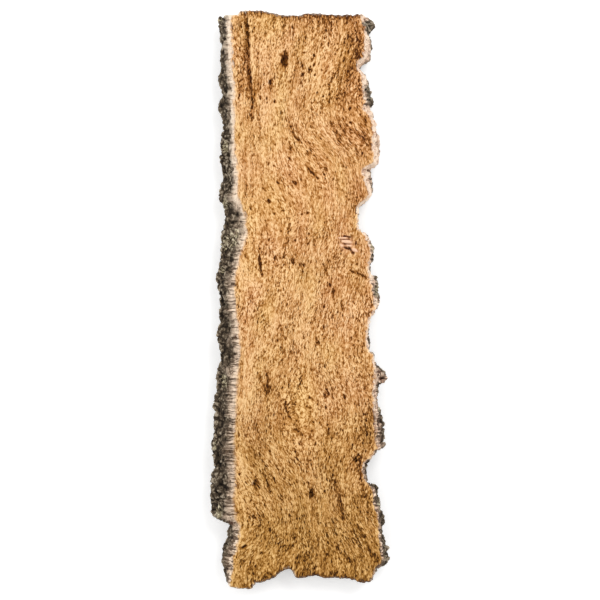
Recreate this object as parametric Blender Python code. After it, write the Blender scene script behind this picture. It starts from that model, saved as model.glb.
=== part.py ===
"""A slab of virgin cork oak bark, lying on its outer crust with its inner face up.

The slab is one grown piece, so it is one solid. It is a block whose surface is cut into cells and then
shaped: in plan by the torn outline of the inner face and the wider outline of the crust below it, and in
height by the hollow that the trunk left in the inner face and by the knobbly plates of the crust.

Metres. +Y runs along the grain, +X across it and +Z out of the inner face. The origin is on the plane
that the slab rests on, under the middle of its box.
"""

from bisect import bisect_right

import bmesh
import bpy
from mathutils import Matrix, Vector, noise

MM = 0.001

# Driving dimensions
TROUGH_HEIGHT = 33 * MM  # inner face above the resting plane, at its lowest line
TROUGH_X = 16 * MM  # where that line runs: the slab is rolled a little, so the left rim stands higher
INNER_RADIUS = 205 * MM  # hollow of the inner face, the trunk's own radius under the bark
CRUST_RADIUS = 240 * MM  # round of the outer crust
CRUST_X = 6 * MM  # the crust's lowest line
CRUST_SINK = 2.0 * MM  # how much of the lowest plates is worn away at the resting plane
PLATE_ACROSS = 27 * MM  # the crust's plates, long along the grain
PLATE_ALONG = 66 * MM
PLATE_STEP = 6.0 * MM  # how unevenly high they stand
PLATE_ROUND = 2.5 * MM  # how much their backs are rounded
FISSURE_DEPTH = 11.0 * MM  # between them
FISSURE_SHARE = 0.3  # width of a fissure, as a share of a plate
FACE_RELIEF = 1.6 * MM  # long swells of the inner face
WIDEST_DEPTH = 0.8  # share of the thickness, from the inner face, where the rim stands out furthest
TUCK = 0.16  # how far the crust draws in again below that, as a share of the rim's slope
RIM_LUMPS = 2.4 * MM  # torn relief of the long rims
END_LUMPS = 3.0 * MM  # and of the two ends
CELLS = (50, 210, 8)  # across, along and through
TRIANGLES_KEPT = 0.17  # share left after the flat stretches are thinned out
WEAR_BLOCK = (0.4, 0.8, 0.04)  # all that is under the resting plane, wider than the slab

# The long sides, from the bottom end to the top end: (along, edge of the inner face, edge of the crust), mm
LEFT_SIDE = (
    (-308, -74, -76), (-297, -72, -82), (-275, -68, -84), (-267, -65, -84), (-257, -62, -78),
    (-243, -62, -77), (-240.5, -62, -88), (-236, -63, -96), (-196, -61, -97), (-179, -61, -95),
    (-154, -62, -96), (-149, -63, -93), (-105, -60, -94), (-98, -60, -90), (-78, -59, -91),
    (-64, -59, -87), (-48, -59, -87), (-39, -60, -91), (-30, -61, -90), (-22, -63, -85),
    (-14, -64, -88), (-5, -64, -85), (24, -63, -91), (46, -60, -86), (74, -48, -86),
    (90, -54, -80), (105, -59, -83), (110, -60, -87), (134, -63, -83), (146, -64, -86),
    (162, -66, -85), (193, -67, -83), (209, -68, -88), (227, -68, -83), (236, -68, -87),
    (254, -69, -84), (267, -70, -87), (274, -70, -84), (296, -70, -88), (306, -70, -87),
)
RIGHT_SIDE = (
    (-304, 76, 78), (-298, 81, 83), (-292, 82, 89), (-287, 86, 96), (-280, 89, 98),
    (-249, 85, 90), (-241, 86, 93), (-218, 80, 87), (-206, 80, 86), (-199, 77, 82),
    (-194, 71, 74), (-183, 68, 72), (-175, 69, 74), (-169, 80, 82), (-162, 86, 90),
    (-157, 84, 94), (-154, 82, 89), (-152, 81, 92), (-141, 80, 93), (-103, 79, 84),
    (-93, 80, 87), (-84, 80, 96), (-79, 80, 94), (-73, 81, 86), (-65, 79, 81),
    (-58, 78, 81), (-54, 74, 75), (-45, 72, 76), (-36, 73, 74), (-20, 75, 76),
    (-14, 80, 83), (-6, 82, 86), (4, 80, 88), (25, 75, 84), (30, 74, 77),
    (39, 74, 76), (43, 77, 80), (55, 77, 81), (65, 72, 77), (71.5, 70, 73),
    (74, 63, 64), (101, 62, 63), (110, 74, 76), (116, 75, 80), (136, 67, 79),
    (141.5, 68, 75), (148, 81, 85), (162, 78, 89), (174, 78, 88), (179, 80, 84),
    (193, 78, 83), (195.5, 76, 77), (201, 75, 83), (206, 67, 77), (214, 71, 80),
    (219, 69, 80), (244, 67, 74), (251, 62, 65), (257, 63, 68), (261, 67, 76),
    (271, 70, 79), (286, 71, 78), (290.5, 70, 74), (292.5, 70, 82), (298, 68, 82),
    (306, 66, 77),
)
# The two ends, from left to right: (across, end of the slab), mm
TOP_END = (
    (-87, 306), (-80, 307), (-67, 305.5), (-64.5, 305.5), (-63.5, 310), (-58, 311), (-40, 311), (-27, 309),
    (-17, 307.5), (4, 307), (8, 310), (27, 309), (42, 307), (56, 306.5), (66, 307.5), (76, 306.5),
)
BOTTOM_END = (
    (-82, -304), (-75, -308), (-60, -311), (-51, -311), (-49, -308), (-46.5, -303.5), (-41, -305.5),
    (-36, -303), (-27, -300.5), (-21, -294), (-13, -290), (-6, -293), (-5.5, -298), (-2, -301.5),
    (9, -299.5), (18, -298), (27, -301), (42, -300), (58, -301.5), (67, -305), (77, -304), (83, -298),
)
# A long crease in the inner face beside its left edge, running down from the top end: (along, across), mm
CREASE = ((193, -52), (202, -51), (216, -52), (232, -53), (246, -55), (262, -56), (290, -57), (312, -58))
CREASE_DEPTH = 6.0 * MM
CREASE_HALF_WIDTH = 3.0 * MM
CREASE_FADE = 22 * MM  # it shallows out over this length at its lower end
# Holes where a twig, an insect or a coarse lenticel was: (across, along, half width, half length, depth), mm
HOLES = (
    (13.5, -210, 3.2, 4.8, 7), (-48, -197, 2.2, 3.4, 4), (61, -172, 2.4, 2.6, 4),
    (-17, 258, 2.9, 6.6, 6), (-31, 235, 2.2, 3.6, 4), (11, 249, 2.2, 3.0, 4),
)
HOLE_SIDES = 12


def along_line(points, where, column=1):
    """The value that a list of points in millimetres, sorted by its first column, takes at where."""
    firsts = [point[0] * MM for point in points]
    i = min(max(bisect_right(firsts, where), 1), len(points) - 1)
    share = (where - firsts[i - 1]) / (firsts[i] - firsts[i - 1])
    share = min(max(share, 0.0), 1.0)
    return MM * (points[i - 1][column] * (1 - share) + points[i][column] * share)


def swell(x, y, across, along, seed):
    """Smooth noise from -1 to 1, stretched along the grain."""
    return noise.noise(Vector((x / across, y / along, seed)))


def smooth_step(value, low, high):
    share = min(max((value - low) / (high - low), 0.0), 1.0)
    return share * share * (3 - 2 * share)


def crease_depth(x, y):
    """Depth of the long crease at a point of the inner face."""
    lower_end = CREASE[0][0] * MM
    if y < lower_end:
        return 0.0
    off_line = abs(x - along_line(CREASE, y))
    across = 1 - smooth_step(off_line, 0.2 * CREASE_HALF_WIDTH, CREASE_HALF_WIDTH)
    return CREASE_DEPTH * across * smooth_step(y, lower_end, lower_end + CREASE_FADE)


def inner_height(x, y):
    """The hollow inner face, with its long swells and the crease."""
    hollow = (x - TROUGH_X) ** 2 / (2 * INNER_RADIUS)
    swells = swell(x, y, 32 * MM, 90 * MM, 3.1) + 0.5 * swell(x, y, 14 * MM, 38 * MM, 8.4)
    return TROUGH_HEIGHT + hollow + FACE_RELIEF * swells - crease_depth(x, y)


def crust_height(x, y):
    """The rounded crust: knobbly plates, each at its own height, with deep fissures between them."""
    arch = (x - CRUST_X) ** 2 / (2 * CRUST_RADIUS)
    bend = Vector((swell(x, y, 30 * MM, 40 * MM, 33.3), swell(x, y, 24 * MM, 60 * MM, 11.8), 0))
    place = Vector((x / PLATE_ACROSS, y / PLATE_ALONG, 7.7)) + 0.7 * bend
    distances, centres = noise.voronoi(place)
    from_edge = distances[1] - distances[0]
    step = PLATE_STEP * noise.noise(3.1 * centres[0])
    plate = arch - CRUST_SINK + step + PLATE_ROUND * swell(x, y, 15 * MM, 22 * MM, 21.7)
    return plate + FISSURE_DEPTH * (1 - smooth_step(from_edge, 0.03, FISSURE_SHARE))


def rim_slope(depth):
    """How far out a rim point lies between the face's edge and the crust's edge, by its depth from 0 to 1."""
    if depth < WIDEST_DEPTH:
        return depth / WIDEST_DEPTH
    return 1 - TUCK * (depth - WIDEST_DEPTH) / (1 - WIDEST_DEPTH)


def side_at(side, y, depth):
    """Where a long side lies at this depth below the inner face."""
    face, crust = along_line(side, y, 1), along_line(side, y, 2)
    outwards = 1 if face > 0 else -1
    lumps = RIM_LUMPS * smooth_step(depth, 0.3, 0.7) * swell(face, y, 90 * MM, 8 * MM, 40 + 3 * depth)
    return face + (crust - face) * rim_slope(depth) + outwards * lumps


def shaped(point):
    """Where a point of the unit block, from 0 to 1 on each axis, goes on the slab."""
    across, along, up = point
    depth = 1 - up
    y = (along - 0.5) * (TOP_END[4][1] - BOTTOM_END[2][1]) * MM
    for _ in range(2):
        left, right = side_at(LEFT_SIDE, y, depth), side_at(RIGHT_SIDE, y, depth)
        x = left + (right - left) * across
        torn = END_LUMPS * swell(x, depth, 9 * MM, 0.4, 61.5)
        top, bottom = along_line(TOP_END, x) - depth * abs(torn), along_line(BOTTOM_END, x) + depth * torn
        y = bottom + (top - bottom) * along
    return Vector((x, y, inner_height(x, y) * up + crust_height(x, y) * depth))


def unit_block(cells):
    """A cube primitive, one corner at the origin, with its surface cut into cells along each axis."""
    block = bmesh.new()
    bmesh.ops.create_cube(block, size=1.0)
    bmesh.ops.translate(block, verts=block.verts, vec=(0.5, 0.5, 0.5))
    for axis, count in enumerate(cells):
        runs = [edge for edge in block.edges if abs(edge.verts[0].co[axis] - edge.verts[1].co[axis]) > 0.5]
        bmesh.ops.subdivide_edges(block, edges=runs, cuts=count - 1, use_grid_fill=True)
    return block


def bark_material():
    material = bpy.data.materials.new("cork_bark")
    material.use_nodes = True
    shader = material.node_tree.nodes["Principled BSDF"]
    shader.inputs["Base Color"].default_value = (0.58, 0.33, 0.13, 1)
    shader.inputs["Roughness"].default_value = 0.9
    shader.inputs["Metallic"].default_value = 0.0
    return material


def add_object(name, block, collection):
    mesh = bpy.data.meshes.new(name)
    block.to_mesh(mesh)
    block.free()
    made = bpy.data.objects.new(name, mesh)
    collection.objects.link(made)
    return made


def bark_slab(collection):
    """The one solid: the block, shaped, and then thinned where it is nearly flat."""
    block = unit_block(CELLS)
    for vertex in block.verts:
        vertex.co = shaped(vertex.co)
    bmesh.ops.recalc_face_normals(block, faces=block.faces)
    slab = add_object("bark", block, collection)
    slab.data.materials.append(bark_material())
    thinner = slab.modifiers.new("thin_flat_stretches", "DECIMATE")
    thinner.ratio = TRIANGLES_KEPT
    thinner.use_collapse_triangulate = True
    return slab


def wear_block():
    """All that would reach below the resting plane."""
    block = bmesh.new()
    bmesh.ops.create_cube(block, size=1.0)
    bmesh.ops.translate(block, verts=block.verts, vec=(0, 0, -0.5))
    bmesh.ops.scale(block, verts=block.verts, vec=WEAR_BLOCK)
    return block


def hole_plugs():
    """One ellipsoid for each hole, half sunk in the inner face."""
    plugs = bmesh.new()
    for x, y, *half_sizes in (tuple(MM * size for size in hole) for hole in HOLES):
        place = Matrix.Translation((x, y, inner_height(x, y))) @ Matrix.Diagonal((*half_sizes, 1))
        bmesh.ops.create_uvsphere(
            plugs, u_segments=HOLE_SIDES, v_segments=HOLE_SIDES // 2, radius=1.0, matrix=place
        )
    return plugs


def cut(slab, name, block, collection):
    cutter = add_object(name, block, collection)
    cutter.hide_render = True
    cutter.display_type = "WIRE"
    boolean = slab.modifiers.new(name, "BOOLEAN")
    boolean.operation = "DIFFERENCE"
    boolean.solver = "EXACT"
    boolean.object = cutter


def centre_on_origin(slab, pieces):
    """Moves everything so that the middle of the finished slab is over the origin. It rests on z = 0."""
    finished = slab.evaluated_get(bpy.context.evaluated_depsgraph_get())
    middle = sum((Vector(corner) for corner in finished.bound_box), Vector()) / 8
    for piece in pieces:
        piece.location = (-middle.x, -middle.y, 0)


def add_collection(name):
    collection = bpy.data.collections.new(name)
    bpy.context.scene.collection.children.link(collection)
    return collection


def main():
    for leftover in list(bpy.data.objects):
        bpy.data.objects.remove(leftover)
    cutters = add_collection("cutters")
    slab = bark_slab(add_collection("cork_bark_slab"))
    cut(slab, "worn_away", wear_block(), cutters)
    cut(slab, "hole_plugs", hole_plugs(), cutters)
    centre_on_origin(slab, [slab, *cutters.objects])


main()
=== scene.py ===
# %% [markdown]
# # A slab of virgin cork bark
#
# Cork oak bark is stripped from the trunk in long curved planks. This one lies on its crust and shows its
# inner face, the side that sat against the wood. It is one grown piece, so the whole lesson is about one
# mesh: where its surface is belly, torn rim or crust, what relief each of these has, and how one material
# can colour all three.
#
# The imported model gives the slab's true size and outline. We load it first and keep its box.

# %% Load the frame
import math

import bmesh
import bpy
import numpy as np
from mathutils import Matrix, Vector


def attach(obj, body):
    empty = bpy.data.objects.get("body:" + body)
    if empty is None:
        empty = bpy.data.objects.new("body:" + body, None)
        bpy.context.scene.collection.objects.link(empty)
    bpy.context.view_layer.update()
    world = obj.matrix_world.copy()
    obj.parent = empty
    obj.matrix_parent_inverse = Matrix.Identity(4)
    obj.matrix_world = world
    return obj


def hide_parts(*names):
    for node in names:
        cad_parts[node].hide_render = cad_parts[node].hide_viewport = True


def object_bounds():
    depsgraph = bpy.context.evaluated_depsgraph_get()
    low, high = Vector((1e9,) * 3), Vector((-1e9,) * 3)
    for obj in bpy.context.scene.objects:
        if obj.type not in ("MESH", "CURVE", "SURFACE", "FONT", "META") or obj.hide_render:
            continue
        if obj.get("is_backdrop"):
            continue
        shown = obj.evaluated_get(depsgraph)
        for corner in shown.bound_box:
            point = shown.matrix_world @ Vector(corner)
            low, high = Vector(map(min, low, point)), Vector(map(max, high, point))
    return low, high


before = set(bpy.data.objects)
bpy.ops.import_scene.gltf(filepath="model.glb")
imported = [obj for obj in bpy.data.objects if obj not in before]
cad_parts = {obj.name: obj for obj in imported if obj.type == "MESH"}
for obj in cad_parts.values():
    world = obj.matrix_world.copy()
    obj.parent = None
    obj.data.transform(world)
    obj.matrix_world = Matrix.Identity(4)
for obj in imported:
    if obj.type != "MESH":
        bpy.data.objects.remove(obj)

MM = 0.001
cad_low, cad_high = (Vector(corner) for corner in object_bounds())
print("CAD box, mm:", [round(side / MM, 1) for side in cad_high - cad_low])

# %% [markdown]
# ## A fine, even mesh
#
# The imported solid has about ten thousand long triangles: right for collision, too coarse for grain. We
# could subdivide it, but that keeps its uneven triangles. A voxel remesh instead wraps it in a skin of
# small equal quads, so that every square millimetre of bark can be shaped later. A few rounds of smoothing
# then take the coarse facets away.

# %% Remesh and smooth
VOXEL = 1.0 * MM
SMOOTHING_ROUNDS = 8


def welded_copy(node_name, new_name):
    """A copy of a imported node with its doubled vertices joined, so that the surface is closed."""
    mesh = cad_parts[node_name].data.copy()
    mesh.materials.clear()
    work = bmesh.new()
    work.from_mesh(mesh)
    bmesh.ops.remove_doubles(work, verts=work.verts, dist=0.001 * MM)
    work.to_mesh(mesh)
    work.free()
    piece = bpy.data.objects.new(new_name, mesh)
    bpy.context.scene.collection.objects.link(piece)
    return piece


def apply_modifiers(piece):
    """Replaces the piece's mesh with what its modifiers make of it."""
    ready = piece.evaluated_get(bpy.context.evaluated_depsgraph_get())
    made = bpy.data.meshes.new_from_object(ready)
    piece.modifiers.clear()
    piece.data = made


bark = welded_copy("bark", "cork_bark_slab")
print("packed mesh:", len(bark.data.polygons), "triangles")

# %% [markdown]
# Low on the right rim the skin of the bark curled round itself into a small knob with a hole in it. A ring
# is quickest made from a torus, stretched to stand along the rim. It is joined in before the remesh, which
# fuses overlapping closed shapes into one skin.

# %% The curled knob
KNOB_AT = Vector((88.6, -84.3)) * MM
KNOB_RADIUS = 3.3 * MM
KNOB_LIP = 1.5 * MM  # half the thickness of the curl
KNOB_STRETCH = 4


def join_knob(piece):
    """Adds the ring to the piece's mesh, with its upper end level with the rim beside it."""
    beside = [corner.co.z for corner in piece.data.vertices if (corner.co.xy - KNOB_AT).length < 9 * MM]
    bpy.ops.mesh.primitive_torus_add(major_radius=KNOB_RADIUS, minor_radius=KNOB_LIP)
    ring = bpy.context.object
    top = Vector((*KNOB_AT, max(beside) - KNOB_STRETCH * KNOB_LIP))
    ring.data.transform(Matrix.Translation(top) @ Matrix.Diagonal((1, 1, KNOB_STRETCH, 1)))
    work = bmesh.new()
    work.from_mesh(piece.data)
    work.from_mesh(ring.data)
    work.to_mesh(piece.data)
    work.free()
    bpy.data.objects.remove(ring)
    print("knob top, mm:", round(max(beside) / MM, 1))


join_knob(bark)

# %% Apply the remesh
skin = bark.modifiers.new("even_skin", "REMESH")
skin.mode = "VOXEL"
skin.voxel_size = VOXEL
soften = bark.modifiers.new("soften_facets", "SMOOTH")
soften.factor = 0.5
soften.iterations = SMOOTHING_ROUNDS
apply_modifiers(bark)
print("even skin:", len(bark.data.vertices), "vertices")

# %% [markdown]
# ## Noise that numpy can lay on every vertex at once
#
# Relief has to move vertices, so we need noise values in Python and not only in the shader. Blender's
# mathutils.noise gives one value per call; with hundreds of thousands of vertices it is simpler to write
# the two classic noises for whole arrays. The first is gradient noise, smooth hills and valleys. The
# second is cellular noise, which gives each point its distance to the nearest of a set of scattered seeds:
# that makes pores, pits and plates.


# %% Gradient and cellular noise
def lattice_random(corner, seed):
    """A repeatable random number from 0 to 1 for each whole-numbered lattice corner."""
    mixed = corner[..., 0] * 73856093 ^ corner[..., 1] * 19349663 ^ corner[..., 2] * 83492791
    mixed = (mixed ^ (seed * 961748927)) & 0x7FFFFFFF
    mixed = (mixed ^ (mixed >> 15)) * 739982445 & 0x7FFFFFFF
    mixed = (mixed ^ (mixed >> 12)) * 695872825 & 0x7FFFFFFF
    return ((mixed ^ (mixed >> 15)) & 0xFFFFFF) / 0xFFFFFF


def hills(points, size, seed):
    """Gradient noise, about -1 to 1. size is the size of a hill along each axis, in metres."""
    place = points / np.array(size)
    corner = np.floor(place).astype(np.int64)
    inside = place - corner
    fade = inside**3 * (inside * (inside * 6 - 15) + 10)
    total = np.zeros(len(points))
    for step in np.ndindex(2, 2, 2):
        at = corner + step
        slope = np.stack([lattice_random(at, seed * 3 + axis) for axis in range(3)], axis=-1) * 2 - 1
        share = np.prod(np.where(step, fade, 1 - fade), axis=-1)
        total += share * np.sum(slope * (inside - step), axis=-1)
    return 1.6 * total


def seeds_near(points, size, seed):
    """Cellular noise: distances to the nearest two seeds, and a random number for the nearest."""
    place = points / np.array(size)
    home = np.floor(place).astype(np.int64)
    nearest = np.full(len(points), 9.0)
    second = np.full(len(points), 9.0)
    chosen = np.zeros(len(points))
    for step in np.ndindex(3, 3, 3):
        cell = home + step - 1
        jitter = np.stack([lattice_random(cell, seed * 5 + axis) for axis in range(3)], axis=-1)
        gap = np.linalg.norm(cell + jitter - place, axis=-1)
        closer = gap < nearest
        second = np.where(closer, nearest, np.minimum(second, gap))
        chosen = np.where(closer, lattice_random(cell, seed * 5 + 3), chosen)
        nearest = np.where(closer, gap, nearest)
    return nearest, second, chosen


def ramp(value, low, high):
    """0 below low, 1 above high and a smooth step between. low may be the greater, to turn it round."""
    share = np.clip((value - low) / (high - low), 0, 1)
    return share * share * (3 - 2 * share)


def plan_distance(across, along, half_width, half_length):
    """How far each vertex lies from a place over the plan: 1 is on the edge of its ellipse. Given in mm."""
    return np.hypot((x / MM - across) / half_width, (y / MM - along) / half_length)


def numbers_of(collection, name, width):
    """One property of every vertex or edge, as an array with a row for each."""
    values = np.empty(len(collection) * width)
    collection.foreach_get(name, values)
    return values.reshape(-1, width)


points = numbers_of(bark.data.vertices, "co", 3)
normals = numbers_of(bark.data.vertex_normals, "vector", 3)
x, y, z = points.T
print("noise will be laid on", len(points), "vertices")

# %% [markdown]
# ## Which part of the bark is this?
#
# Everything else needs two facts at each vertex: how deep it lies in the slab, from 0 at the belly to 1 at
# the crust, and whether it is belly at all. The belly and the crust are each close to a smooth surface
# over the plan, so a low polynomial fitted to the vertices that face up, and another to those that face
# down, gives the depth as a share of the thickness between them.


# %% Fit the two faces and measure depth
def plan_terms(x, y):
    """The terms of a polynomial in the plan, with the slab's half length and half width as units."""
    across, along = x / cad_high.x, y / cad_high.y
    return np.stack([across**i * along**j for i in range(4) for j in range(6 - i)], axis=-1)


def fitted_height(chosen, rounds=4, within=3 * MM):
    """Height over the plan of a smooth surface through the chosen vertices, near which ledges don't count."""
    terms = plan_terms(x, y)
    near = chosen & (abs(x) < 0.7 * cad_high.x)
    for _ in range(rounds):
        height = terms @ np.linalg.lstsq(terms[near], z[near], rcond=None)[0]
        near = chosen & (abs(z - height) < within)
    return height


middle_height = z.mean()
belly_height = fitted_height((normals[:, 2] > 0.85) & (z > middle_height))
crust_height = fitted_height((normals[:, 2] < -0.5) & (z < middle_height), within=6 * MM)
depth = belly_height - z
thickness = np.maximum(belly_height - crust_height, 15 * MM)
through = np.clip(depth / thickness, 0, 1)
ragged = hills(points, (4 * MM, 4 * MM, 4 * MM), 75) + 0.6 * hills(points, (2.2 * MM, 2.2 * MM, 2.2 * MM), 76)
belly = ramp(normals[:, 2] + 0.14 * ragged, 0.45, 0.75) * ramp(depth - 0.8 * MM * ragged, 6 * MM, 3 * MM)
print("thickness, mm:", (np.percentile(thickness, (5, 50, 95)) / MM).round(1))
print("belly share of the vertices:", round(float(belly.mean()), 2))

# %% [markdown]
# The walls of the old crease and of the knot holes look sideways, but they are still belly: the mask has to
# take them in by place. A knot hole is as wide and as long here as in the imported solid. The curled knob is
# left out again, because its skin is rim. A fissure of the crust can run up under a knot hole, so what looks
# down never counts as hole.

# %% Crease and knot holes
CREASE_ZONE = (-63.5, -45, 196)  # left, right and lower end, mm
KNOB_FADE = (6.5 * MM, 5.2 * MM)  # how far from its middle the skin of the knob ends
KNOB_SIDE = (82 * MM, 84 * MM)  # and how far inwards, across the slab
KNOT_HOLES = (  # (across, along, half width, half length), mm
    (13.5, -210, 3.2, 4.8), (-48, -197, 2.2, 3.4), (61, -172, 2.4, 2.6),
    (-17, 258, 2.9, 6.6), (-31, 235, 2.2, 3.6), (11, 249, 2.2, 3.0),
)

crease_left, crease_right, crease_bottom = np.array(CREASE_ZONE) * MM
in_crease = ramp(x, crease_left - 1 * MM, crease_left) * ramp(x, crease_right, crease_right - 2 * MM)
in_crease *= ramp(y, crease_bottom, crease_bottom + 4 * MM) * ramp(depth, 14 * MM, 11 * MM)
in_crease *= ramp(normals[:, 1], 0.8, 0.6)
in_hole = np.zeros(len(points))
for across, along, half_width, half_length in np.array(KNOT_HOLES):
    off = plan_distance(across, along, half_width, half_length)
    in_hole = np.maximum(in_hole, ramp(off, 1.65, 1.1))
in_hole *= ramp(normals[:, 2], -0.45, -0.1) * ramp(through, 0.8, 0.65)
knob_off = np.hypot(x - KNOB_AT.x, y - KNOB_AT.y)
on_knob = ramp(knob_off, *KNOB_FADE) * ramp(x, *KNOB_SIDE)
belly = np.maximum.reduce([belly, in_crease, np.minimum(3 * in_hole, 1)]) * (1 - on_knob)
print("belly share with its hollows:", round(float(belly.mean()), 2))

# %% [markdown]
# ## Coordinates that follow the grain
#
# Cork grows in long cells, and around old branch marks the whole pattern leans and swirls. If every noise
# below reads the same bent coordinates, then pores, furrows and colour all lean together. Each lean shears
# the plan a little around one spot: positive slopes run down to the right.

# %% Grain coordinates
LEANS = (  # (across, along, reach across, reach along, slope in the middle), mm
    (28, 172, 55, 36, 0.75), (-5, 120, 45, 30, 0.4), (50, -95, 60, 45, 0.3),
    (-30, -185, 50, 45, 0.6), (55, -250, 55, 34, 0.6), (-50, -265, 40, 20, -0.3),
    (-30, 60, 50, 40, 0.2),
)


def lean_of(x, y):
    """How far the grain is pushed aside at each vertex."""
    total = 3 * MM * hills(points * (1, 1, 0), (40 * MM, 50 * MM, 1), 41)
    total += 0.9 * MM * hills(points * (1, 1, 0), (9 * MM, 13 * MM, 1), 42)
    for across, along, reach_across, reach_along, slope in np.array(LEANS):
        beside = np.exp(-(((x / MM - across) / reach_across) ** 2))
        beyond = (y / MM - along) / reach_along
        total += slope * reach_along * MM * np.tanh(beyond) * np.exp(-((beyond / 2.5) ** 2)) * beside
    return total


grain = np.stack([x + lean_of(x, y), y, depth], axis=-1)
print("farthest lean, mm:", round(float(abs(grain[:, 0] - x).max()) / MM, 1))

# %% [markdown]
# ## Belly relief
#
# The inner face has four kinds of relief. Long shallow furrows follow the grain. Pores are everywhere, a
# few millimetres apart. Coarser pits, where lenticels reached the wood, are scattered. Then there are the
# marks that make this slab this slab, and we start with these: pits, each with its place and size, and
# cracks drawn as short lines of points.

# %% Pits and cracks of this slab
PITS = (  # (across, along, half width, half length), mm
    (-24, 240, 1.0, 1.3), (-27, 214.5, 1.6, 2.2), (-35.5, 217.5, 1.1, 1.7), (-35.5, 213, 1.0, 1.0),
    (-43, 218, 1.1, 1.1), (-39, 199.5, 1.3, 1.0), (2, 255, 1.2, 4.3), (2.5, 244, 1.3, 3.2),
    (1.5, 235, 1.6, 1.7), (15.5, 265, 1.4, 2.2), (5, 268, 2.4, 1.0), (23.5, 249, 1.1, 1.8),
    (15.5, 243.5, 1.1, 1.1), (34, 239, 1.3, 3.9), (48, 282, 1.5, 1.2), (37.5, 266, 1.4, 1.0),
    (25, 220.5, 1.3, 1.3), (54, 207, 1.5, 2.4), (-26.5, 167.5, 1.0, 1.7), (-34, 146.5, 1.2, 1.7),
    (-52.5, 99, 1.7, 2.6), (2, 93, 1.6, 1.4), (8.5, 94.5, 1.7, 1.4), (60, 62, 1.1, 2.2),
    (53.5, 55.5, 1.3, 1.9), (56.5, 51, 1.6, 1.4), (-7.5, 42, 2.5, 3.5), (4.5, 38, 2.2, 2.2),
    (11.5, 40.5, 1.3, 1.3), (-38.5, -22, 1.5, 1.3), (-24, -44, 1.4, 2.6), (-20.5, -51, 1.7, 1.3),
    (-17, -56.5, 1.4, 2.2), (19.5, -46.5, 2.4, 2.8), (27, -71.5, 1.2, 2.6), (-1.5, -74.5, 1.4, 1.0),
    (-8.5, -75, 1.2, 1.1), (28, -117, 1.5, 1.5), (60.5, -173, 1.7, 1.7), (-27.5, -193, 1.3, 1.9),
    (-31, -207.5, 1.3, 1.7), (-52.5, -216.5, 1.4, 1.7), (70, -254.5, 1.2, 2.6), (-6, -258, 1.7, 2.2),
)
CREASE_LINE = (
    (-60.5, 312), (-58, 300), (-56.2, 285), (-55.5, 262), (-54.6, 246), (-53, 232), (-52, 216), (-51, 202),
    (-52, 193),
)
CRACKS = (  # (half width, share of full depth, the points that the crack runs through), mm
    (1.4, 0.55, *CREASE_LINE),
    (1.3, 0.6, (-49, 226), (-48, 210), (-51, 202), (-54, 196)),
    (1.2, 0.8, (-7.5, 295), (-7, 285)),
    (1.1, 0.8, (5.5, 291.5), (6, 283)),
    (1.0, 0.5, (-10, 307), (-10, 277.5)),
    (2.2, 0.9, (-16, 267), (-14, 260.5), (-15, 253)),
    (1.5, 0.6, (-10.5, 188.5), (-6, 178.5), (0.5, 171)),
    (1.6, 0.5, (-11, 171), (-9, 160.5)),
    (1.5, 0.5, (5, 147), (11.5, 139), (19.5, 132)),
    (1.4, 0.4, (-24, 128), (-20.5, 118.5), (-14.5, 104.5)),
    (2.2, 0.25, (33, 192.5), (39.5, 182), (44.5, 168)),
    (2.2, 0.5, (-44, 46.5), (-42.5, 37.5), (-40.5, 28)),
    (1.0, 0.7, (23, 41), (27, 36), (29, 30), (26.5, 25.5)),
    (1.0, 0.7, (29, 30), (32.5, 23)),
    (1.6, 0.7, (54, 32), (57.5, 30), (63, 28.5), (71.5, 24)),
    (1.3, 0.8, (35.5, 11), (35, 5.5), (36.5, 0.5)),
    (2.4, 0.4, (-44.5, -80.5), (-40.5, -89.5), (-35.5, -101)),
    (2.2, 0.4, (-36, -77.5), (-34.5, -90.5), (-34, -99)),
    (1.6, 0.5, (-16, -110), (-14, -118.5), (-11, -127)),
    (2.0, 0.42, (64, -167), (66, -194), (69.5, -213)),
    (2.6, 0.36, (36.5, -196), (41.5, -213), (48.5, -237)),
    (1.6, 0.5, (-4.5, -262), (-9, -266.5), (-15.5, -271.5)),
    (2.2, 0.42, (71.5, -262.5), (76, -272.5), (82.5, -281)),
    (2.0, 0.5, (40, -267), (47, -275.5), (54.5, -283)),
)
DEPTH_OF_WIDTH = 1.7  # a pit or crack is this many half widths deep


def pit_bowls():
    """Depth of the named pits at each vertex, with edges roughened by noise."""
    rough = 0.35 * hills(points, (1.6 * MM, 1.6 * MM, 4 * MM), 51)
    total = np.zeros(len(points))
    for across, along, half_width, half_length in np.array(PITS):
        off = plan_distance(across, along, half_width, half_length) + rough
        total = np.maximum(total, DEPTH_OF_WIDTH * half_width * MM * ramp(off, 1.3, 0.3))
    return total


def crack_valleys():
    """Depth of the cracks: each tapers off sideways by its half width, wanders, and breaks up in places."""
    wander = 1.3 * MM * hills(points, (4 * MM, 4 * MM, 9 * MM), 52)
    broken = 0.8 * hills(points, (2.5 * MM, 4 * MM, 9 * MM), 53)
    plan = np.stack([x + wander, y - wander], axis=-1)
    total = np.zeros(len(points))
    for half_width, share_of_depth, *route in CRACKS:
        for start, end in zip(np.array(route[:-1]) * MM, np.array(route[1:]) * MM):
            run = end - start
            share = np.clip((plan - start) @ run / (run @ run), 0, 1)
            off = np.linalg.norm(plan - start - share[:, None] * run, axis=-1) / (half_width * MM)
            deepest = DEPTH_OF_WIDTH * share_of_depth * half_width * MM
            total = np.maximum(total, deepest * ramp(off + broken, 1.4, 0.1))
    return total


marks = np.maximum(pit_bowls(), crack_valleys())
print("deepest mark, mm:", round(marks.max() / MM, 1))
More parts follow.
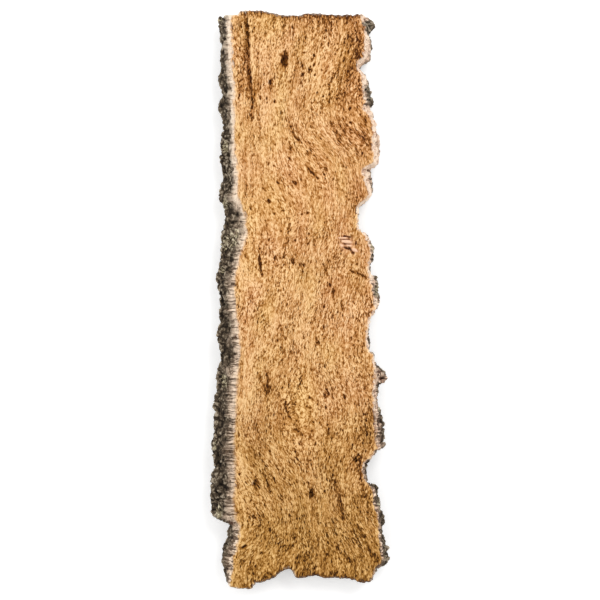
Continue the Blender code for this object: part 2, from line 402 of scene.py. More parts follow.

# %% [markdown]
# One spot near the middle of the right rim is torn open. A knot was pulled out there, and left thin pink
# layers standing over each other like shingles, with gaps under their lips that are painted dark as shadow.
# There are only a few, so each is placed one by one: a lens with its middle, its size and its slope.

# %% Torn spot with standing layers
TORN_AT = (51.5, 60, 9.5, 9)  # (across, along, half width, half length) of the pink flush, mm
LAYERS = (  # (across, along, half length, half width, slope), mm
    (46.3, 67.2, 5.3, 1.0, -0.05), (50.6, 63.0, 6.2, 2.0, -0.18), (53.2, 58.9, 3.0, 1.3, -0.1),
    (45.2, 59.0, 2.4, 1.4, -0.35), (59.3, 53.9, 3.2, 2.1, -0.4),
)
SHADED_GAPS = (  # the same for the gaps, painted dark as the shadow under the layers' lips
    (48.2, 69.0, 2.6, 0.9, 0), (52.7, 68.3, 2.4, 1.0, -0.1), (47.0, 65.7, 2.4, 0.8, -0.1),
    (52.6, 65.6, 1.6, 0.9, 0), (51.3, 60.6, 4.4, 0.8, -0.15), (50.0, 56.0, 3.5, 1.2, -0.4),
    (53.9, 55.2, 2.0, 1.8, -1.0), (56.9, 51.1, 1.8, 1.6, -0.4), (60.1, 61.5, 1.2, 2.1, 0),
)


def lenses(rows, edge):
    """1 inside the lens shapes and 0 outside."""
    inside = np.zeros(len(points))
    for across, along, half_length, half_width, slope in np.array(rows):
        aside = x / MM - across
        off = np.hypot(aside / half_length, (y / MM - along - slope * aside) / half_width)
        inside = np.maximum(inside, ramp(off, 1 + edge, 1 - edge))
    return inside


layers = lenses(LAYERS, 0.3)
shaded_gaps = lenses(SHADED_GAPS, 0.35) * (1 - 0.7 * layers)
flush = ramp(plan_distance(*TORN_AT) + 0.3 * hills(points, (6 * MM, 6 * MM, 6 * MM), 55), 1.1, 0.5)
torn = np.maximum.reduce([0.6 * flush, layers, shaded_gaps])
# painted shadow: the gaps under the lips are dark, the layers pale
ledge_shading = np.clip(0.45 + 0.5 * layers - 0.75 * shaded_gaps, 0, 1)
torn_relief = MM * (1.1 * layers - 1.8 * shaded_gaps)
print("torn share of the vertices:", round(float(torn.mean()), 4))

# %% [markdown]
# Between the named marks, any cork belly has its pores, coarser pits and furrows. Cellular noise gives the
# first two: a seed in each cell is the middle of a pore, and its random number says whether it is there and
# how deep it goes. The furrows are gradient noise, stretched along the grain.

# %% Pores, pits and furrows of any cork belly
PORE = np.array((2.9, 5.6, 5.0)) * MM
COARSE_PIT = np.array((11, 19, 15)) * MM

nearest, _, chance = seeds_near(grain, PORE, 61)
pores = (0.3 + chance) * MM * ramp(nearest, 0.45, 0.12) * ramp(chance, 0.35, 0.55)
nearest, _, chance = seeds_near(grain, COARSE_PIT, 62)
coarse = 2.2 * MM * ramp(nearest, 0.2, 0.07) * ramp(chance, 0.6, 0.65)
furrows = 0.55 * MM * hills(grain, (5 * MM, 34 * MM, 20 * MM), 63)
furrows += 0.3 * MM * hills(grain, (2.6 * MM, 11 * MM, 9 * MM), 64)
belly_relief = furrows - np.maximum.reduce([pores, coarse, marks])
belly_relief = belly_relief * (1 - np.maximum(layers, shaded_gaps)) + torn_relief
print("belly relief, mm:", (np.percentile(belly_relief[belly > 0.9], (1, 50, 99)) / MM).round(2))

# %% [markdown]
# ## Rim relief
#
# A torn rim shows the bark in section. Thin dark lenticels run straight through it from the crust, so they
# are lines across the rim; yearly growth leaves faint steps along it. Which way is "along" depends on
# whether the rim faces sideways or to an end, so each pattern is made both ways and mixed by the normal.
#
# How far up the rim the crust reaches changes along the slab, where it broke off in lumps. Each long rim has
# a short list of places and shares, and noise roughens the border. The right rim crumbled more than the left.


# %% Lenticels, growth steps and where the crust begins
LEFT_CRUST = (  # (along, mm, share of the thickness at which the left rim turns to crust)
    (-300, 0.46), (-240, 0.44), (-225, 0.3), (-140, 0.31), (-43, 0.35), (40, 0.34), (75, 0.29), (110, 0.36),
    (172, 0.31), (248, 0.38), (300, 0.4),
)
RIGHT_CRUST = (  # the same for the right rim
    (-300, 0.45), (-170, 0.45), (-160, 0.62), (-90, 0.7), (0, 0.7), (4, 0.3), (15, 0.3), (17, 0.7),
    (40, 0.7), (43, 0.3), (64, 0.3), (67, 0.7), (208, 0.7), (212, 0.25), (229, 0.25), (235, 0.75),
    (288, 0.75), (291, 0.12), (300, 0.12), (303, 0.6),
)
CRUST_FADES_IN = 0.16  # how far before its start the crust's colour begins, and
CRUST_FULL = 0.13  # how far past it the crust is whole, as shares of the thickness
GROWTH_STEP = 2.6 * MM  # one year's cork


def along_rim(sideways, endways):
    """Mixes a pattern made for the long rims with the same one made for the two ends."""
    share = ramp(abs(normals[:, 1]) - abs(normals[:, 0]), -0.1, 0.3)
    return sideways * (1 - share) + endways * share


fine = along_rim(
    hills(points, (45 * MM, 2.4 * MM, 22 * MM), 71), hills(points, (2.4 * MM, 45 * MM, 22 * MM), 71)
)
broad = along_rim(
    hills(points, (60 * MM, 7 * MM, 20 * MM), 72), hills(points, (7 * MM, 60 * MM, 20 * MM), 72)
)
left_side = ramp(x, 0, -40 * MM)
right_side = ramp(x, 30 * MM, 60 * MM)
crust_start = left_side * np.interp(y / MM, *np.array(LEFT_CRUST).T) + 0.05 * broad + 0.09 * fine
crust_start += (1 - left_side) * np.interp(y / MM, *np.array(RIGHT_CRUST).T)
crust_start += 0.07 * hills(points, (4 * MM, 4 * MM, 4 * MM), 73)
crust = ramp(through, crust_start - CRUST_FADES_IN, crust_start + CRUST_FULL)
crust = np.maximum(crust, ramp(normals[:, 2], -0.55, -0.75)) * (1 - belly)
crowding = 0.2 - 0.4 * ramp(y, 10 * MM, 110 * MM) + 0.25 * ramp(y, -60 * MM, -150 * MM) + 0.3 * broad
# the rim darkens towards the crust, partly more lenticels and partly painted shade where the rim slopes away
streaks_and_slope_shade = 1.5 * (through - crust_start) + 0.47 + crowding
streaks_and_slope_shade += right_side * (0.2 + 0.55 * hills(points, (6 * MM, 7 * MM, 6 * MM), 70)) + 0.35 * on_knob
streak = ramp(fine + streaks_and_slope_shade, 0.2, 0.75) * (1 - crust) * (1 - belly)
year = depth / GROWTH_STEP + 0.6 * hills(points, (20 * MM, 20 * MM, 20 * MM), 74)
growth = np.sin(2 * math.pi * year)
rim_relief = -0.4 * MM * streak + 0.15 * MM * growth + 0.5 * MM * broad
rim_relief += 1.1 * MM * right_side * hills(points, (5 * MM, 6 * MM, 5 * MM), 77)
sideways = ramp(abs(normals[:, 2]), 0.8, 0.4)
at_edge = ramp(normals[:, 2], 0.93, 0.6) * ramp(normals[:, 2], -0.6, 0)
print("crust share of the vertices:", round(float(crust.mean()), 2))

# %% [markdown]
# ## Crust relief
#
# The outer crust is old dead cork, split into plates with deep fissures between them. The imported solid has
# the large plates already. Here they get smaller cracks and a knobbly skin. On the underside all of it is
# cut into the slab and never stands out, so the slab still rests on the same worn plates.

# %% Cracks and knobs of the crust
nearest, second, chance = seeds_near(points, np.array((7, 10, 7)) * MM, 81)
small_cracks = ramp(second - nearest, 0.16, 0.03)
knobs = hills(points, (8 * MM, 8 * MM, 8 * MM), 82) + 0.5 * hills(points, (3.2 * MM, 3.2 * MM, 3.2 * MM), 83)
crust_relief = 1.3 * MM * knobs - 1.5 * MM * small_cracks + 0.8 * MM * (chance - 0.5)
underneath = ramp(normals[:, 2], -0.3, -0.7)
highest = (1 - underneath) * 2 * MM
crust_relief = np.where(underneath > 0, np.minimum(crust_relief, highest), crust_relief)
print("crust relief, mm:", (np.percentile(crust_relief[crust > 0.9], (1, 50, 99)) / MM).round(2))

# %% [markdown]
# ## Move the surface
#
# The three reliefs are mixed by the region masks and laid on along the normals. Then we measure how hollow
# each spot has become, by comparing it with the average of its neighbourhood: the material uses this to
# paint shade into pits and fissures and a painted highlight onto the ridges.

# %% Displace and measure hollows
CAVITY_ROUNDS = 16
SOFTENED_BY = 0.6 * MM  # how far the smoothing took the rims in
EDGE_ROUGH = 1.1 * MM  # how far the broken edges are torn in and out
EDGE_ROUGHER = 0.7 * MM  # and how much more on the right, where the rim crumbled

rim = (1 - belly) * (1 - crust)
relief = belly * belly_relief + rim * rim_relief + crust * crust_relief
relief += (EDGE_ROUGH + EDGE_ROUGHER * right_side) * at_edge * ragged
relief += SOFTENED_BY * sideways
moved = points + normals * relief[:, None]
moved[:, 2] = np.maximum(moved[:, 2], points[:, 2].min())


def neighbourhood_mean(values, rounds):
    """Each vertex's values averaged with its neighbours', again and again, over a growing patch."""
    edges = numbers_of(bark.data.edges, "vertices", 2).astype(np.int64)
    ends = np.concatenate([edges[:, 0], edges[:, 1]])
    others = np.concatenate([edges[:, 1], edges[:, 0]])
    count = np.bincount(ends, minlength=len(values))[:, None]
    for _ in range(rounds):
        totals = [np.bincount(ends, weights=column[others], minlength=len(values)) for column in values.T]
        values = 0.5 * values + 0.5 * np.stack(totals, axis=-1) / count
    return values


bark.data.vertices.foreach_set("co", moved.ravel())
bark.data.update()
new_normals = numbers_of(bark.data.vertex_normals, "vector", 3)
# painted shade and highlight: the material darkens the hollows and pales the ridges by this measure
hollow_light_and_shade = np.sum((neighbourhood_mean(moved, CAVITY_ROUNDS) - moved) * new_normals, axis=-1)
print("hollows, mm:", (np.percentile(hollow_light_and_shade, (1, 50, 99)) / MM).round(2))

# %% [markdown]
# ## How light or dark each spot is
#
# The belly's colour follows its relief: pits and furrows are darker, partly their own dark brown and partly
# painted shade, and ridges carry a painted highlight. One number, the tone, says it all: 0 is the darkest
# brown and 1 the palest cream. Here and there the belly is stained brown; along the crease, the right edge
# and the ends it is painted darker, partly stain and partly painted shade where the surface turns away from
# the light. Wider than these are soft swells, where the whole belly is a little paler or darker: noise alone
# would put them anywhere, so these too have places.

# %% Tone of the belly
# real stains, and painted shade along the crease, the right edge and the ends of the belly
STAINS_AND_SHADE = (  # (across, along, reach across, reach along, how much darker), mm
    (-57, 285, 2.6, 30, 0.45), (-54.5, 240, 2.8, 25, 0.40), (-53, 221, 5, 19, 0.5), (-46, 296, 10, 8, 0.15),
    (-63, 260, 3, 50, 0.16),
    (25, 303, 16, 9, 0.30), (39, 297, 5, 12, 0.22), (63, 282, 5, 20, 0.25), (68, 262, 6, 12, 0.30),
    (56, 245, 7, 12, 0.15), (48, 221, 8, 9, 0.20), (70, 200, 5, 30, 0.28), (45, 183, 9, 14, 0.12),
    (74, 155, 5, 26, 0.32), (64, 110, 8, 20, 0.12), (-6, 246, 3, 16, 0.14), (-10, 185, 6, 18, 0.12),
    (26, 34, 9, 8, 0.14), (4, -87, 6, 8, 0.16), (-38, -92, 6, 14, 0.16), (-14, -118, 6, 12, 0.14),
    (19, -46, 5, 6, 0.14), (77, -124, 6, 26, 0.28), (66, -190, 5, 28, 0.14), (42, -215, 6, 26, 0.14),
    (62, -262, 10, 22, 0.16), (80, -280, 6, 16, 0.22), (-45, -235, 9, 30, 0.10), (-50, -170, 5, 40, 0.08),
    (-56, -290, 12, 12, 0.18), (0, -298, 70, 9, 0.22), (-43, 38, 6, 14, 0.12), (20, 140, 14, 14, 0.06),
)
SWELLS = (  # broad soft patches: (across, along, reach across, reach along, how much lighter), mm
    (58, 250, 12, 35, -0.13), (40, 218, 12, 16, -0.12), (16, 245, 14, 40, 0.08), (-32, 295, 16, 10, 0.09),
    (-52, 278, 12, 30, -0.07), (-38, 200, 14, 30, 0.07), (-16, 160, 14, 22, 0.12), (40, 110, 16, 16, 0.07),
    (-28, -70, 16, 18, 0.12), (38, -70, 16, 20, 0.13), (-32, -118, 14, 14, -0.12), (6, -118, 14, 20, -0.09),
    (-20, -142, 16, 18, -0.06), (46, -168, 12, 14, 0.10), (-52, -195, 10, 18, 0.12),
    (-10, -195, 14, 18, -0.08), (32, -235, 14, 14, -0.06), (22, -276, 16, 12, -0.16),
    (-8, -280, 20, 10, -0.05), (-56, -292, 10, 8, -0.10), (58, -67, 10, 22, 0.035), (-54, -67, 8, 12, 0.07),
    (-40, -150, 14, 14, -0.05), (-52, 30, 10, 14, 0.07), (-60, -142, 6, 18, 0.07), (-8, 10, 10, 40, 0.04),
)
SWELL_STRENGTH = 1.7
MIDDLE_TONE = 0.62
CALM_AT, CALM_REACH = 115, 60  # along, mm: above the middle the grain is finer and fainter


def swelled():
    """How much paler each vertex is for the swells."""
    total = np.zeros(len(points))
    for across, along, reach_across, reach_along, lighter in np.array(SWELLS):
        off = plan_distance(across, along, reach_across, reach_along)
        total += SWELL_STRENGTH * lighter * np.exp(-(off**2))
    return total


def stains_and_shade():
    """How much darker each vertex is for the stains and the painted shade, whose sides wander."""
    wander = 5 * MM * hills(points, (9 * MM, 9 * MM, 9 * MM), 91)
    total = np.zeros(len(points))
    for across, along, reach_across, reach_along, darker in np.array(STAINS_AND_SHADE):
        off = np.hypot((x + wander - across * MM) / reach_across, (y - along * MM) / reach_along) / MM
        total = np.maximum(total, darker * np.exp(-(off**2)))
    return total


patches = hills(grain, (28 * MM, 46 * MM, 40 * MM), 92) + 0.6 * hills(grain, (9 * MM, 20 * MM, 20 * MM), 93)
lines = hills(grain, (2.2 * MM, 22 * MM, 9 * MM), 94)
# a painted highlight along the ridge beside the crease
ridge_off = x - np.interp(y, *np.array(CREASE_LINE[::-1])[:, ::-1].T * MM) - 3.9 * MM
crease_ridge_highlight = np.exp(-((ridge_off / (1.4 * MM)) ** 2)) * ramp(y, 215 * MM, 250 * MM)
# The end edges are painted dark as shade: how far a spot is from them is read off the mesh, column by column.
at_end = ramp(abs(y), 262 * MM, 280 * MM) * ramp(x, -66 * MM, -62 * MM)
column = ((x - x.min()) / (1.5 * MM)).astype(int)
lower_edge, upper_edge = np.full(column.max() + 1, 1.0), np.full(column.max() + 1, -1.0)
np.minimum.at(lower_edge, column, y)
np.maximum.at(upper_edge, column, y)
to_end = np.minimum(y - lower_edge[column], upper_edge[column] - y)
end_edge_shade = ramp(to_end + 1.2 * MM * ragged, 4.2 * MM, 1 * MM) * at_end
calm = np.exp(-(((y / MM - CALM_AT) / CALM_REACH) ** 2))
porous = 0.5 + 0.8 * hills(grain, (15 * MM, 30 * MM, 30 * MM), 95) - 0.35 * calm
porous = np.clip(porous + 0.4 * hills(grain, (5 * MM, 12 * MM, 12 * MM), 96), 0, 1)
# painted shade: hollows, pits and pores darkened, ridges paled; pits and pores are also darker in their own
# colour
darkening = 0.3 * np.maximum(hollow_light_and_shade / MM, -0.5) + 0.26 * np.maximum(marks, coarse) / MM + 0.12 * pores / MM
darkening *= 1 - 0.45 * in_crease
# painted shade in the knot holes and along the end edges; the belly is also a little darker towards the right
darkening += stains_and_shade() + 0.6 * end_edge_shade + 0.6 * in_hole + 0.07 * ramp(x, -50 * MM, 70 * MM)
tone = MIDDLE_TONE + (1 - 0.4 * calm) * (0.19 * patches + 0.26 * lines) + 0.5 * crease_ridge_highlight + swelled()
tone = np.clip(tone - darkening, 0, 1)
rosy = np.clip(0.5 + 0.7 * hills(grain, (22 * MM, 40 * MM, 40 * MM), 97) + 0.25 * ramp(x, 0, 70 * MM), 0, 1)
tan = 0.15 + 0.85 * ramp(y + 40 * MM * patches, 0, -320 * MM)
print("tone:", np.percentile(tone[belly > 0.9], (2, 10, 50, 90, 98)).round(2))

# %% [markdown]
# A few spots of the rim stand out: holes and slits, painted dark as the shade in them, and cream flecks of
# lichen on the crust. They are ellipses over the plan too. On the hidden side, lichen grows in loose patches
# given by noise.

# %% Spots of the rim and crust
DARK_SPOTS = (  # (across, along, half width, half length), mm
    (87.6, -84.4, 2.5, 2.4), (85.5, -77.8, 3.4, 1.1), (-65.4, 20, 1.6, 1.7), (-69.4, -40, 1.2, 2.2),
    (-73.3, -60.3, 1.6, 1.6), (-62.5, -246, 3, 2), (-75, -241, 4, 3), (-67, -70, 1, 1.6), (78, -128, 3, 6),
)
LICHEN_SPOTS = (  # the same
    (-84, 32, 2.4, 5), (-82.3, -88, 3.2, 10), (-81, 165, 3, 8), (-80.5, 104, 3, 7), (-69.4, 75.3, 1.8, 2.4),
    (-68.4, 69, 2.2, 2), (-92, -156, 2, 7), (-68.4, -20.5, 2, 2.4), (-78, 283, 2, 4), (78, 56, 2.5, 7),
    (83, 8, 2.5, 7), (-88, -230, 4, 8), (92.5, -84, 1.4, 4),
)


def spots(rows):
    """1 inside the rows' ragged ellipses and 0 outside."""
    total = np.zeros(len(points))
    for across, along, half_width, half_length in np.array(rows):
        off = plan_distance(across, along, half_width, half_length)
        total = np.maximum(total, ramp(off + 0.25 * ragged, 1.4, 0.5))
    return total


# the end faces are painted dark as shade too
end_face_shade = ramp(abs(normals[:, 1]), 0.25, 0.6) * at_end * ramp(depth + MM * ragged, 6 * MM, 3 * MM)
hole_and_end_shade = np.maximum(spots(DARK_SPOTS), 0.9 * end_face_shade)
loose_lichen = 0.7 * ramp(hills(points, (24 * MM, 30 * MM, 24 * MM), 98), 0.35, 0.7)
lichen = np.maximum(spots(LICHEN_SPOTS), loose_lichen)
print("soaked and lichen, vertices:", int((hole_and_end_shade > 0.5).sum()), int((lichen > 0.5).sum()))

# %% [markdown]
# ## Keep the masks with the mesh, then thin it out
#
# Each mask is stored as an attribute on the vertices, where the material can read it by name. The even
# skin has far more faces than flat stretches need. Decimate merges faces where the surface is nearly
# flat, keeps them where pits and fissures are, and carries the attributes along.

# %% Store the masks and decimate
TRIANGLES = 196_000


def keep(name, values):
    """Stores a number or a place for each vertex as an attribute."""
    kind = "FLOAT" if values.ndim == 1 else "FLOAT_VECTOR"
    layer = bark.data.attributes.new(name, kind, "POINT")
    layer.data.foreach_set("value" if values.ndim == 1 else "vector", values.astype(np.float32).ravel())


rim_along = np.where(abs(normals[:, 1]) > abs(normals[:, 0]), x, y)
rim_along += 1.1 * MM * hills(points, (5 * MM, 6 * MM, 5 * MM), 99)
# the hollow measure, the tone, the ledge, the dark holes and the rim's darkening towards the crust carry
# painted shade
keep("belly", belly)
keep("crust", crust)
keep("streaks_and_slope_shade", streaks_and_slope_shade)
keep("rim_place", np.stack([depth, rim_along, 0 * x], axis=-1))
keep("porous", porous)
keep("rosy", rosy)
keep("hole_and_end_shade", hole_and_end_shade)
keep("crumbly", right_side * np.clip(0.6 + 0.7 * hills(points, (5 * MM, 7 * MM, 5 * MM), 78), 0, 1))
keep("lichen", lichen)
keep("torn", torn * belly)
keep("ledge_shading", ledge_shading)
keep("tone", tone)
keep("tan", tan)
keep("hollow_light_and_shade", np.clip(0.5 + hollow_light_and_shade / (3 * MM), 0, 1))
keep("grain", grain)
bark.data.calc_loop_triangles()
thin = bark.modifiers.new("thin_out", "DECIMATE")
thin.ratio = TRIANGLES / len(bark.data.loop_triangles)
apply_modifiers(bark)
bark.data.shade_smooth()
bark.data.calc_loop_triangles()
print("finished mesh:", len(bark.data.loop_triangles), "triangles")

# %% [markdown]
# ## The finish
#
# Cork has no shine: it is a fine foam of dead cells, so it is very rough with no coat. All its character
# is in colour. The same speckle runs through belly, rim and crust, only with another size and contrast, so
# it is a node group with those as inputs. It reads the grain coordinates, so the flecks lean with the grain.


# %% Node helpers
def colour(red, green, blue):
    """A paint, 0 to 255 for each colour, as the linear colour that a shader needs."""
    shares = np.array((red, green, blue)) / 255
    return *np.where(shares < 0.04045, shares / 12.92, ((shares + 0.055) / 1.055) ** 2.4), 1


def node(tree, kind, inputs=None, **settings):
    """A new node with its settings, and its inputs filled with values or linked to other nodes' outputs."""
    made = tree.nodes.new(kind)
    for name, value in settings.items():
        setattr(made, name, value)
    for name, value in (inputs or {}).items():
        if isinstance(value, bpy.types.NodeSocket):
            tree.links.new(value, made.inputs[name])
        else:
            made.inputs[name].default_value = value
    return made


def sums(tree, operation, first, second, clamp=False):
    made = node(tree, "ShaderNodeMath", {0: first, 1: second}, operation=operation, use_clamp=clamp)
    return made.outputs[0]


def mask(tree, name, output="Fac"):
    return node(tree, "ShaderNodeAttribute", attribute_name=name).outputs[output]


def shades(tree, value, *stops):
    """A colour ramp through the given (place, colour) stops."""
    ramp_node = node(tree, "ShaderNodeValToRGB", {"Fac": value})
    elements = ramp_node.color_ramp.elements
    while len(elements) < len(stops):
        elements.new(0.5)
    for element, (place, shade) in zip(elements, stops):
        element.position = place
        element.color = shade
    return ramp_node.outputs["Color"]


def blend(tree, share, first, second):
    mix = node(tree, "ShaderNodeMix", {"Factor": share}, data_type="RGBA")
    tree.links.new(first, mix.inputs["A"])
    tree.links.new(second, mix.inputs["B"])
    return mix.outputs["Result"]


# %% The cork speckle and cork pores groups
def new_group(name, inputs, outputs):
    """An empty node group with Place and then some numbers going in, and numbers coming out."""
    group = bpy.data.node_groups.new(name, "ShaderNodeTree")
    group.interface.new_socket("Place", in_out="INPUT", socket_type="NodeSocketVector")
    for socket_name in inputs:
        group.interface.new_socket(socket_name, in_out="INPUT", socket_type="NodeSocketFloat")
    for socket_name in outputs:
        group.interface.new_socket(socket_name, in_out="OUTPUT", socket_type="NodeSocketFloat")
    return group


def place_in_cells(group, given):
    """The place measured in cells of the given width and length, both in millimetres."""
    across = sums(group, "DIVIDE", 1000.0, given["Width"])
    along = sums(group, "DIVIDE", 1000.0, given["Length"])
    fineness = node(group, "ShaderNodeCombineXYZ", {"X": across, "Y": along, "Z": along}).outputs[0]
    cells = node(group, "ShaderNodeVectorMath", {0: given["Place"], 1: fineness}, operation="MULTIPLY")
    return cells.outputs[0]


def cork_speckle_group():
    group = new_group("cork_speckle", ("Width", "Length", "Contrast"), ("Tone", "Height"))
    given = node(group, "NodeGroupInput").outputs
    look = {"Vector": place_in_cells(group, given), "Scale": 0.6, "Detail": 3.0, "Roughness": 0.65,
            "Distortion": 0.6}
    fleck = node(group, "ShaderNodeTexNoise", look).outputs["Fac"]
    centred = sums(group, "SUBTRACT", fleck, 0.5)
    tone = sums(group, "ADD", sums(group, "MULTIPLY", centred, given["Contrast"]), 0.5, clamp=True)
    node(group, "NodeGroupOutput", {"Tone": tone, "Height": fleck})
    return group


def cork_pores_group():
    group = new_group("cork_pores", ("Width", "Length", "Share"), ("Mask",))
    given = node(group, "NodeGroupInput").outputs
    cells = place_in_cells(group, given)
    bend = node(group, "ShaderNodeTexNoise", {"Vector": cells, "Scale": 1.1, "Detail": 2.0}).outputs["Color"]
    most = (0.9, 0.9, 0.9)
    bent = node(group, "ShaderNodeVectorMath", {0: bend, 1: most, 2: cells}, operation="MULTIPLY_ADD")
    seeds = node(group, "ShaderNodeTexVoronoi", {"Vector": bent.outputs[0], "Scale": 1.0})
    wide = sums(group, "MULTIPLY", seeds.outputs["Distance"], -3.2)
    bowl = sums(group, "ADD", wide, 1.35, clamp=True)
    chance = node(group, "ShaderNodeSeparateColor", {"Color": seeds.outputs["Color"]}).outputs["Red"]
    present = sums(group, "LESS_THAN", chance, given["Share"])
    node(group, "NodeGroupOutput", {"Mask": sums(group, "MULTIPLY", bowl, present)})
    return group


groups = {"speckle": cork_speckle_group(), "pores": cork_pores_group()}
print("groups:", [group.name for group in groups.values()])


def speckle(tree, place, width, length, contrast):
    """The cork speckle, with flecks of a width and length in mm. It has a Tone and a Height."""
    inputs = {"Place": place, "Width": width, "Length": length, "Contrast": contrast}
    return node(tree, "ShaderNodeGroup", inputs, node_tree=groups["speckle"]).outputs


def pore_mask(tree, place, width, length, share):
    """1 in the cork pores, which a share of the cells have."""
    inputs = {"Place": place, "Width": width, "Length": length, "Share": share}
    return node(tree, "ShaderNodeGroup", inputs, node_tree=groups["pores"]).outputs["Mask"]


# %% [markdown]
# The material mixes three skins by the stored masks. The belly's speckle, stronger where the cork is more
# porous, is added to its tone and read off ramps from burnt brown to cream. The rim is pale and pinkish,
# crossed by grey-brown lenticels, darker towards the crust partly as painted shade, and crumbly on the right.
# The crust is grey-brown with painted shade making its fissures near black, a painted highlight on its knobs,
# and cream dots of lichen.


# %% The cork bark material
def weighed(tree, start, *parts):
    """start plus each (value, weight), kept between 0 and 1 at the end."""
    total = start
    for value, weight in parts:
        total = sums(tree, "ADD", total, sums(tree, "MULTIPLY", value, weight))
    return sums(tree, "ADD", total, 0.0, clamp=True)


def belly_skin(tree, fine_fleck):
    """Colour of the inner face, whose tone carries painted shade and highlight; the torn spot's gaps are
    painted dark as shadow.
    """
    grain_place = mask(tree, "grain", "Vector")
    porous = mask(tree, "porous")
    broad_fleck = speckle(tree, grain_place, 1.8, 11.0, 2.6)
    fleck_share = weighed(tree, 0.5, (porous, 0.5))
    fleck = sums(tree, "MULTIPLY", sums(tree, "SUBTRACT", fine_fleck["Tone"], 0.5), fleck_share)
    small_pores = pore_mask(tree, grain_place, 1.7, 4.4, weighed(tree, 0.3, (porous, 0.6)))
    large_pores = pore_mask(tree, grain_place, 3.4, 6.5, weighed(tree, -0.1, (porous, 0.7)))
    tone = weighed(
        tree, mask(tree, "tone"), (fleck, 1.15), (broad_fleck["Tone"], 0.55),
        (small_pores, -0.33), (large_pores, -0.36), (1.0, -0.21),
    )
    fresh = shades(
        tree, tone,
        (0.0, colour(70, 34, 0)), (0.2, colour(128, 76, 12)), (0.42, colour(182, 124, 54)),
        (0.62, colour(214, 160, 94)), (0.82, colour(236, 187, 124)), (1.0, colour(252, 211, 150)),
    )
    tanned = shades(
        tree, tone,
        (0.0, colour(52, 25, 0)), (0.2, colour(104, 62, 8)), (0.42, colour(150, 100, 34)),
        (0.62, colour(186, 134, 66)), (0.82, colour(212, 161, 92)), (1.0, colour(236, 191, 124)),
    )
    # painted shadow in the gaps, pale pink on the layers
    torn = shades(
        tree, mask(tree, "ledge_shading"),
        (0.0, colour(52, 22, 10)), (0.2, colour(120, 70, 48)), (0.45, colour(206, 146, 108)),
        (0.8, colour(246, 200, 164)), (1.0, colour(255, 214, 182)),
    )
    rosy = shades(
        tree, tone,
        (0.0, colour(72, 32, 4)), (0.2, colour(130, 73, 20)), (0.42, colour(184, 118, 62)),
        (0.62, colour(214, 154, 101)), (0.82, colour(239, 185, 134)), (1.0, colour(254, 211, 164)),
    )
    aged = blend(tree, mask(tree, "tan"), blend(tree, mask(tree, "rosy"), fresh, rosy), tanned)
    return blend(tree, mask(tree, "torn"), aged, torn)


def rim_skin(tree):
    """Colour of the torn rim: pale flesh, crossed by lenticels that crowd towards the crust, with painted
    shade in its hollows, towards the crust, in its holes and on the end faces.
    """
    rim_place = mask(tree, "rim_place", "Vector")
    hair = speckle(tree, rim_place, 13.0, 1.3, 4.4)
    rings = speckle(tree, rim_place, 1.6, 26.0, 2.2)
    flesh_fleck = speckle(tree, mask(tree, "grain", "Vector"), 1.6, 1.6, 2.0)
    # painted shade: the flesh starts from the hollow measure and darkens towards the crust
    flesh_tone = weighed(
        tree, mask(tree, "hollow_light_and_shade"), (flesh_fleck["Tone"], -0.4), (hair["Tone"], 0.3), (rings["Tone"], -0.2),
        (mask(tree, "streaks_and_slope_shade"), 0.4), (1.0, -0.15),
    )
    flesh = shades(
        tree, flesh_tone,
        (0.0, colour(255, 236, 212)), (0.3, colour(245, 218, 191)), (0.55, colour(200, 173, 148)),
        (1.0, colour(104, 82, 64)),
    )
    crumbs = speckle(tree, rim_place, 1.6, 1.4, 5.0)
    crumbly = shades(
        tree, weighed(tree, 0.5, (flesh_tone, 1.0), (crumbs["Tone"], -0.74)),
        (0.0, colour(252, 226, 202)), (0.35, colour(230, 192, 164)), (0.6, colour(180, 134, 108)),
        (1.0, colour(84, 54, 40)),
    )
    flesh = blend(tree, mask(tree, "crumbly"), flesh, crumbly)
    lenticel = shades(tree, flesh_fleck["Tone"], (0.2, colour(62, 48, 36)), (0.9, colour(124, 100, 80)))
    crowd = weighed(tree, mask(tree, "streaks_and_slope_shade"), (hair["Tone"], 1.3), (1.0, -0.95))
    streaked = blend(tree, shades(tree, crowd, (0.1, (0, 0, 0, 1)), (0.75, (1, 1, 1, 1))), flesh, lenticel)
    # painted shade: holes, slits and end faces are dark brown
    hole_shade_colour = shades(tree, flesh_fleck["Tone"], (0.0, colour(58, 26, 12)), (1.0, colour(92, 56, 34)))
    return blend(tree, mask(tree, "hole_and_end_shade"), streaked, hole_shade_colour)


def crust_skin(tree):
    """Colour of the outer crust, with painted shade in its fissures and a painted highlight on its knobs."""
    place = mask(tree, "grain", "Vector")
    fleck = speckle(tree, place, 2.4, 3.0, 3.4)
    # painted shade and highlight: the hollow measure darkens fissures and pales knobs
    tone = weighed(tree, mask(tree, "hollow_light_and_shade"), (fleck["Tone"], -1.0), (1.0, 0.5))
    plates = shades(
        tree, tone,
        (0.0, colour(170, 156, 136)), (0.14, colour(124, 110, 91)), (0.4, colour(84, 71, 56)),
        (0.7, colour(54, 44, 33)), (1.0, colour(26, 20, 14)),
    )
    dots = speckle(tree, place, 1.5, 1.5, 4.5)
    growth = weighed(tree, mask(tree, "lichen"), (dots["Tone"], 1.0), (1.0, -1.15))
    growth = shades(tree, growth, (0.1, (0, 0, 0, 1)), (0.35, (1, 1, 1, 1)))
    pale_lichen = shades(tree, tone, (0.0, colour(230, 218, 186)), (0.7, colour(150, 136, 106)))
    return blend(tree, growth, plates, pale_lichen)


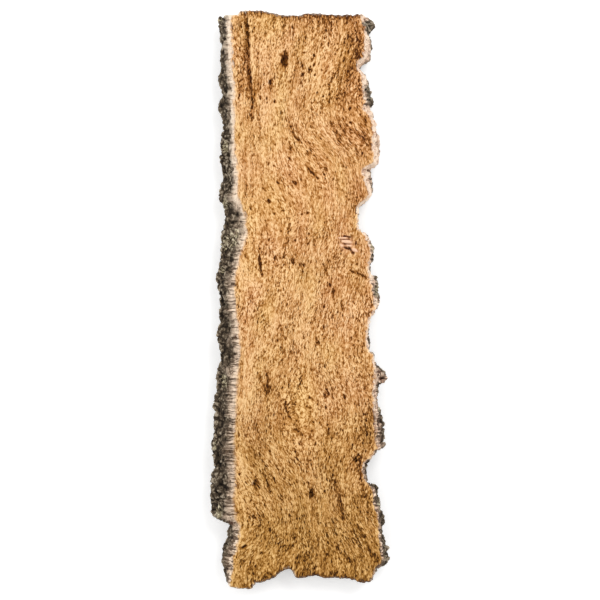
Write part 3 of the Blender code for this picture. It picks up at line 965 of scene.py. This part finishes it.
def cork_bark_material():
    bark_skin = bpy.data.materials.new("cork_bark")
    bark_skin.use_nodes = True
    tree = bark_skin.node_tree
    tree.nodes.clear()
    fine_fleck = speckle(tree, mask(tree, "grain", "Vector"), 0.75, 2.2, 4.0)
    skin_colour = blend(tree, mask(tree, "belly"), rim_skin(tree), belly_skin(tree, fine_fleck))
    skin_colour = blend(tree, mask(tree, "crust"), skin_colour, crust_skin(tree))
    rough = {"Height": fine_fleck["Height"], "Distance": 1.6 * MM, "Strength": 0.8}
    bump = node(tree, "ShaderNodeBump", rough)
    shader = node(
        tree, "ShaderNodeBsdfPrincipled",
        {"Base Color": skin_colour, "Roughness": 0.92, "Specular IOR Level": 0.2, "Normal": bump.outputs[0]},
    )
    node(tree, "ShaderNodeOutputMaterial", {"Surface": shader.outputs[0]})
    return bark_skin


bark.data.materials.clear()
bark.data.materials.append(cork_bark_material())
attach(bark, "root")
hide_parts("bark")
print("finish:", bark.data.materials[0].name)

# %% [markdown]
# ## Floor, light and camera
#
# The slab lies on a plain pale floor. One large soft lamp stands past its top right corner, so that end is
# a little brighter, and a pale sky fills the shadows.


# %% Floor
def plain_material(name, shade, roughness):
    made = bpy.data.materials.new(name)
    made.use_nodes = True
    shader = made.node_tree.nodes["Principled BSDF"]
    shader.inputs["Base Color"].default_value = shade
    shader.inputs["Roughness"].default_value = roughness
    return made


FLOOR_SIDE = 12.0
FLOOR_GLOW = 0.3  # a lit table keeps the shadows beside the slab faint
bpy.ops.mesh.primitive_plane_add(size=FLOOR_SIDE, location=(0, 0, -0.3 * MM))
floor = bpy.context.object
floor.name = "studio_floor"
pale_floor = plain_material("pale_floor", colour(250, 250, 250), 0.9)
pale_floor.node_tree.nodes["Principled BSDF"].inputs["Emission Color"].default_value = colour(255, 255, 255)
pale_floor.node_tree.nodes["Principled BSDF"].inputs["Emission Strength"].default_value = FLOOR_GLOW
floor.data.materials.append(pale_floor)
floor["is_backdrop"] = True
print("floor:", FLOOR_SIDE, "m a side")


# %% Light
def aim(thing, target):
    thing.rotation_euler = (Vector(target) - thing.location).to_track_quat("-Z", "Y").to_euler()


def soft_lamp(name, place, size, watts):
    lamp = bpy.data.objects.new(name, bpy.data.lights.new(name, "AREA"))
    bpy.context.scene.collection.objects.link(lamp)
    lamp.data.shape = "SQUARE"
    lamp.data.size = size
    lamp.data.energy = watts
    lamp.location = place
    aim(lamp, (0, 0.05, 0))
    return lamp


key_lamp = soft_lamp("key_lamp", (0.75, 0.9, 1.7), 1.0, 17)
fill_lamp = soft_lamp("fill_lamp", (-1.3, 0.2, 1.5), 2.0, 13)

sky = bpy.data.worlds.new("pale_sky")
bpy.context.scene.world = sky
sky.use_nodes = True
sky.node_tree.nodes["Background"].inputs["Color"].default_value = (1, 1, 1, 1)
sky.node_tree.nodes["Background"].inputs["Strength"].default_value = 0.66
bpy.context.scene.view_settings.view_transform = "Standard"
print("lamps, W:", key_lamp.data.energy, fill_lamp.data.energy)

# %% Camera
CAMERA_HEIGHT = 2.2
FRAME_SIDE = 645.8 * MM  # how much of the slab's upper face the frame spans
FACE_HEIGHT = 45 * MM

camera = bpy.data.objects.new("camera", bpy.data.cameras.new("camera"))
bpy.context.scene.collection.objects.link(camera)
camera.location = (0, 0, FACE_HEIGHT + CAMERA_HEIGHT)
camera.data.lens = camera.data.sensor_width * CAMERA_HEIGHT / FRAME_SIDE
camera.data.clip_end = 50
bpy.context.scene.camera = camera
print("lens, mm:", round(camera.data.lens, 1))
